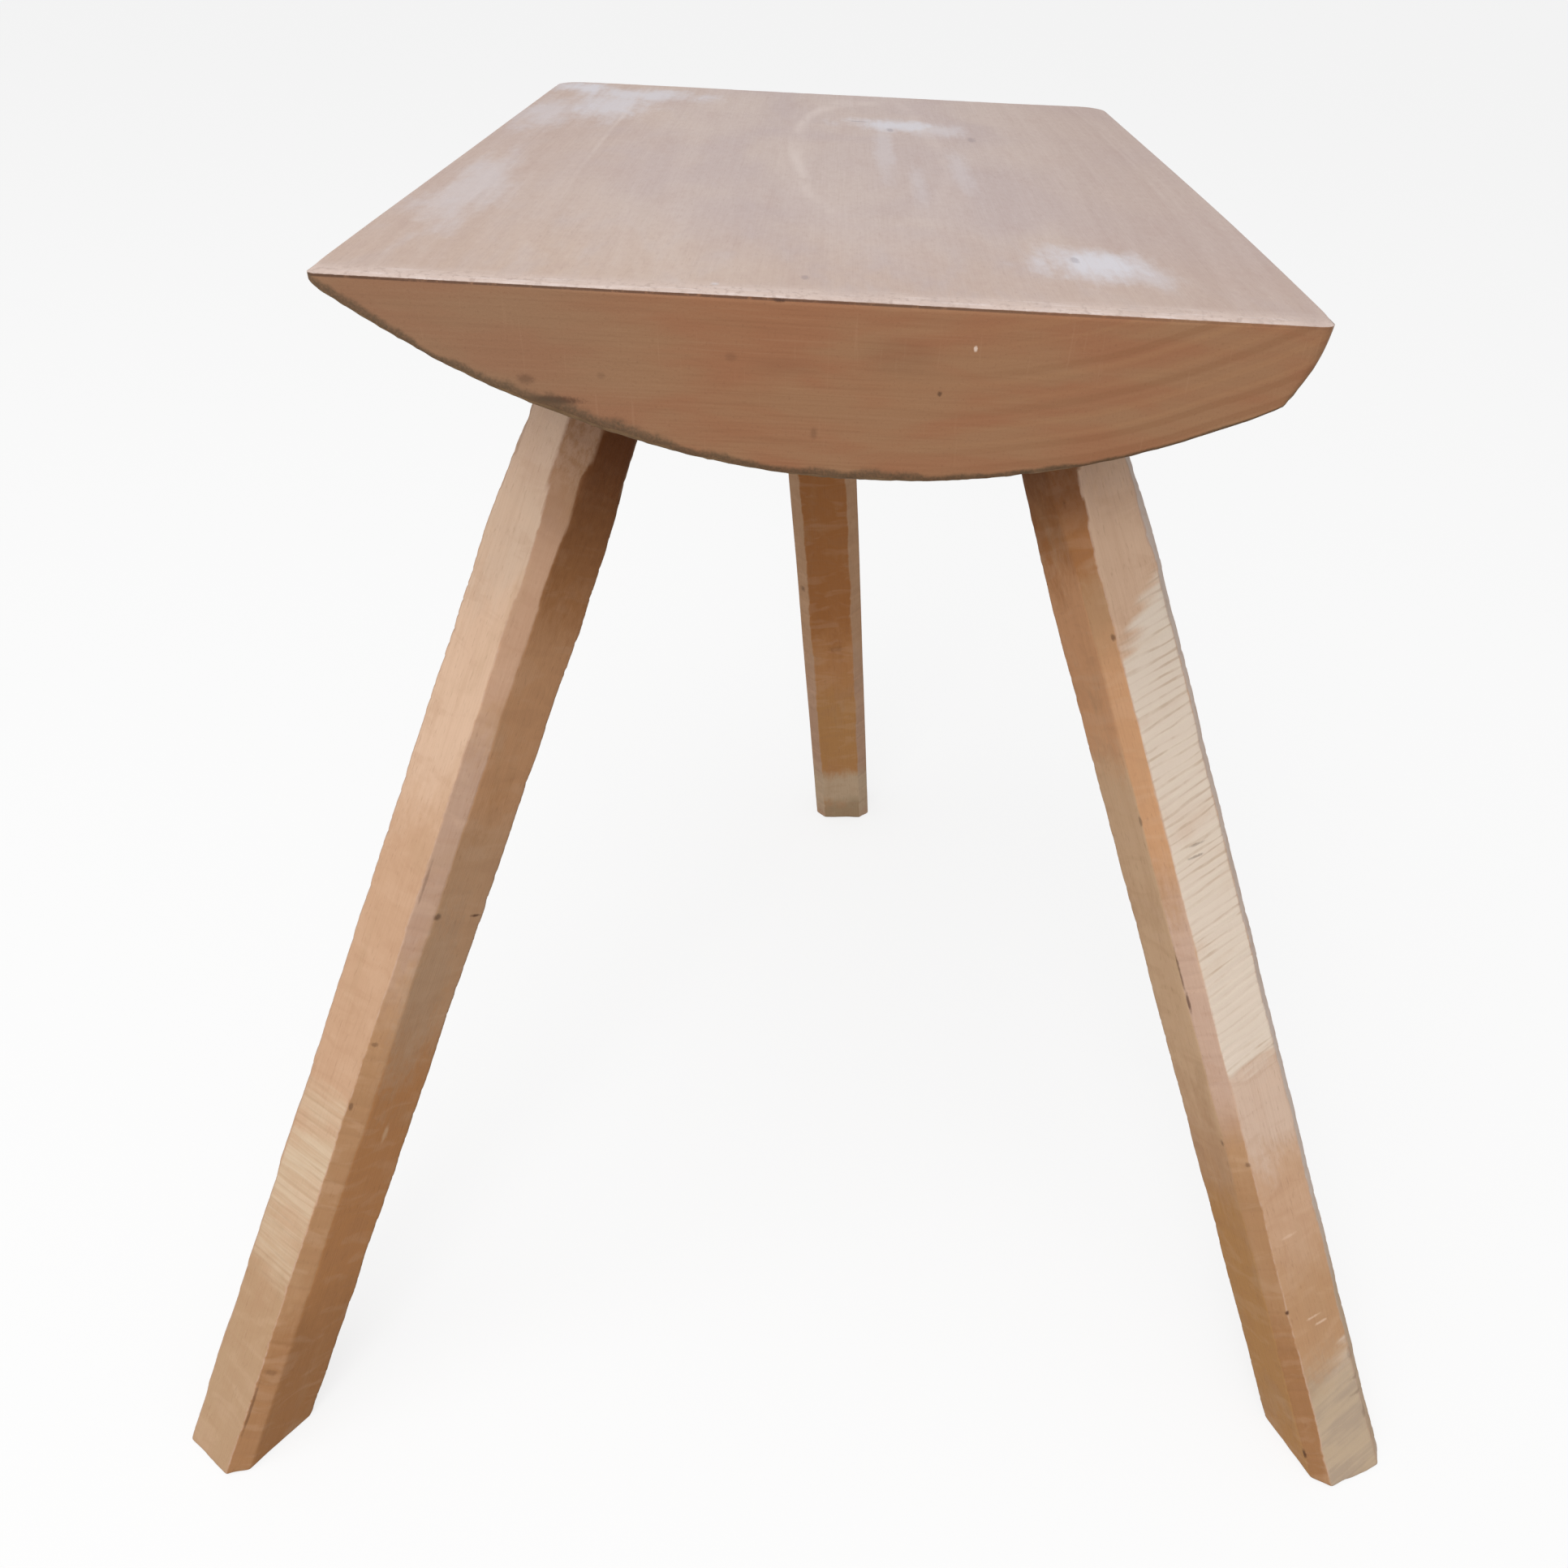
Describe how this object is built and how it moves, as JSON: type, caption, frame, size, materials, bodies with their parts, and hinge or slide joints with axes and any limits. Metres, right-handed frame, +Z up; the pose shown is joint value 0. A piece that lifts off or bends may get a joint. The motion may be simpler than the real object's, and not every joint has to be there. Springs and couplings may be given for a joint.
{
  "type": "three-legged stool",
  "caption": "Rustic stool: a split-log slab seat, flat on top and round below, on raked square legs with chamfered arrises, driven into blind mortises.",
  "frame": {"origin": "on the floor, under the middle of the bounding box", "axes": "+Z up, out of the seat's flat top; Y along the seat's grain with the front end at -Y; +X to the right as seen from the front"},
  "size_m": [0.5119, 0.4959, 0.45],
  "materials": {
    "seat_wood": "bare, weathered, sawn",
    "leg_wood": "bare, sawn and whittled",
    "wedge_wood": "bare, split"
  },
  "bodies": {
    "root": {"seat_slab": "seat_wood", "front_left_leg": "leg_wood", "front_right_leg": "leg_wood", "back_leg": "leg_wood", "front_left_wedge": "wedge_wood", "front_right_wedge": "wedge_wood", "back_wedge": "wedge_wood"}
  },
  "joints": []
}
